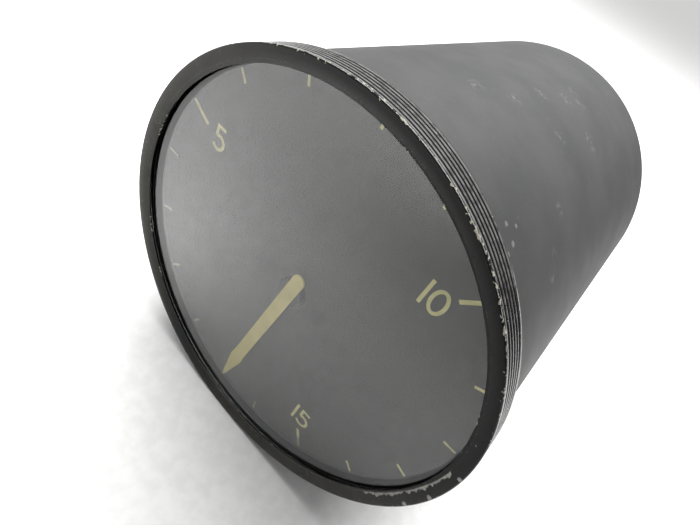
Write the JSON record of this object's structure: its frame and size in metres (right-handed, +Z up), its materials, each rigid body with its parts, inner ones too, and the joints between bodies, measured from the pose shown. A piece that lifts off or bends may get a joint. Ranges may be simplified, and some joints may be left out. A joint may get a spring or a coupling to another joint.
{
  "type": "aircraft fuel gauge",
  "caption": "Round aircraft fuel gauge: cylindrical case, grooved bezel, glass, black dial with a pale scale, pointer turned by a geared servo movement, and a rear electrical receptacle.",
  "frame": {"origin": "on the case's axis, in the plane of the bezel's rear shoulder, which seats on the panel", "axes": "+Y along the case towards its rear, -Y out of the dial, +Z up on the dial, +X to the right of the dial"},
  "size_m": [0.0524, 0.0759, 0.0524],
  "materials": {
    "case_paint": "matte",
    "bezel_paint": "satin",
    "glass": "clear",
    "seal": "matte",
    "dial_paint": "matte",
    "dial_screw": "satin",
    "pointer_paint": "matte",
    "hub_black": "matte",
    "brass": "turned",
    "steel": "turned",
    "aluminium": "turned",
    "receptacle_metal": "satin",
    "bakelite": "moulded",
    "trimmer_body": "moulded",
    "resistance_wire": "wound"
  },
  "bodies": {
    "case": {"case_shell": "case_paint", "bezel_ring": "bezel_paint", "cover_glass": "glass", "glass_gasket": "seal", "dial_plate": "dial_paint", "dial_screws": "dial_screw", "front_plate": "brass", "rear_plate": "brass", "frame_pillars": "brass", "front_plate_screws": "steel", "rear_plate_screws": "steel", "front_bush": "brass", "rear_bush": "brass", "arbor_bushes": "brass", "stop_post": "steel", "motor_housing": "aluminium", "motor_stator": "steel", "motor_end_cap": "aluminium", "motor_bearings": "steel", "motor_screws": "steel", "pot_housing": "bakelite", "pot_winding": "resistance_wire", "pot_cover": "bakelite", "pot_terminals": "brass", "pot_screws": "steel", "terminal_board": "bakelite", "turret_lugs": "brass", "inner_posts": "aluminium", "outer_posts": "aluminium", "tie_screws": "steel", "empty_trimmer": "trimmer_body", "full_trimmer": "trimmer_body", "adjuster_glands": "aluminium", "receptacle_shell": "receptacle_metal", "receptacle_insert": "bakelite", "contact_pins": "brass", "receptacle_gasket": "seal", "receptacle_screws": "steel", "receptacle_nuts": "steel"},
    "pointer": {"pointer": "pointer_paint", "pointer_hub": "hub_black", "pointer_shaft": "steel", "output_gear": "brass", "stop_pin": "steel", "pot_wiper": "brass"},
    "second_wheel": {"second_arbor": "steel", "second_gear": "brass"},
    "first_wheel": {"first_arbor": "steel", "first_gear": "brass"},
    "motor": {"motor_rotor": "steel", "motor_shaft": "steel", "motor_pinion": "steel"},
    "empty_adjuster": {"empty_adjuster": "brass"},
    "full_adjuster": {"full_adjuster": "brass"}
  },
  "joints": [
    {"name": "pointer_turn", "type": "hinge", "parent": "case", "child": "pointer", "pos_m": [0, 0, 0], "axis": [0, 1, 0], "range_deg": [-2, 346]},
    {"name": "second_wheel_turn", "type": "hinge", "parent": "case", "child": "second_wheel", "pos_m": [0.00474, 0, 0.0136], "axis": [0, 1, 0], "continuous": true},
    {"name": "first_wheel_turn", "type": "hinge", "parent": "case", "child": "first_wheel", "pos_m": [-0.00565, 0, 0.01324], "axis": [0, 1, 0], "continuous": true},
    {"name": "motor_turn", "type": "hinge", "parent": "case", "child": "motor", "pos_m": [-0.01498, 0, 0.00865], "axis": [0, 1, 0], "continuous": true},
    {"name": "empty_adjust", "type": "hinge", "parent": "case", "child": "empty_adjuster", "pos_m": [-0.01644, 0, 0.00992], "axis": [0, 1, 0], "range_deg": [-135, 135]},
    {"name": "full_adjust", "type": "hinge", "parent": "case", "child": "full_adjuster", "pos_m": [0.01644, 0, 0.00992], "axis": [0, 1, 0], "range_deg": [-135, 135]}
  ],
  "couplings": [
    {"joint": "second_wheel_turn", "follows": "pointer_turn", "ratio": -5},
    {"joint": "first_wheel_turn", "follows": "pointer_turn", "ratio": 16.667},
    {"joint": "motor_turn", "follows": "pointer_turn", "ratio": -55.556}
  ]
}
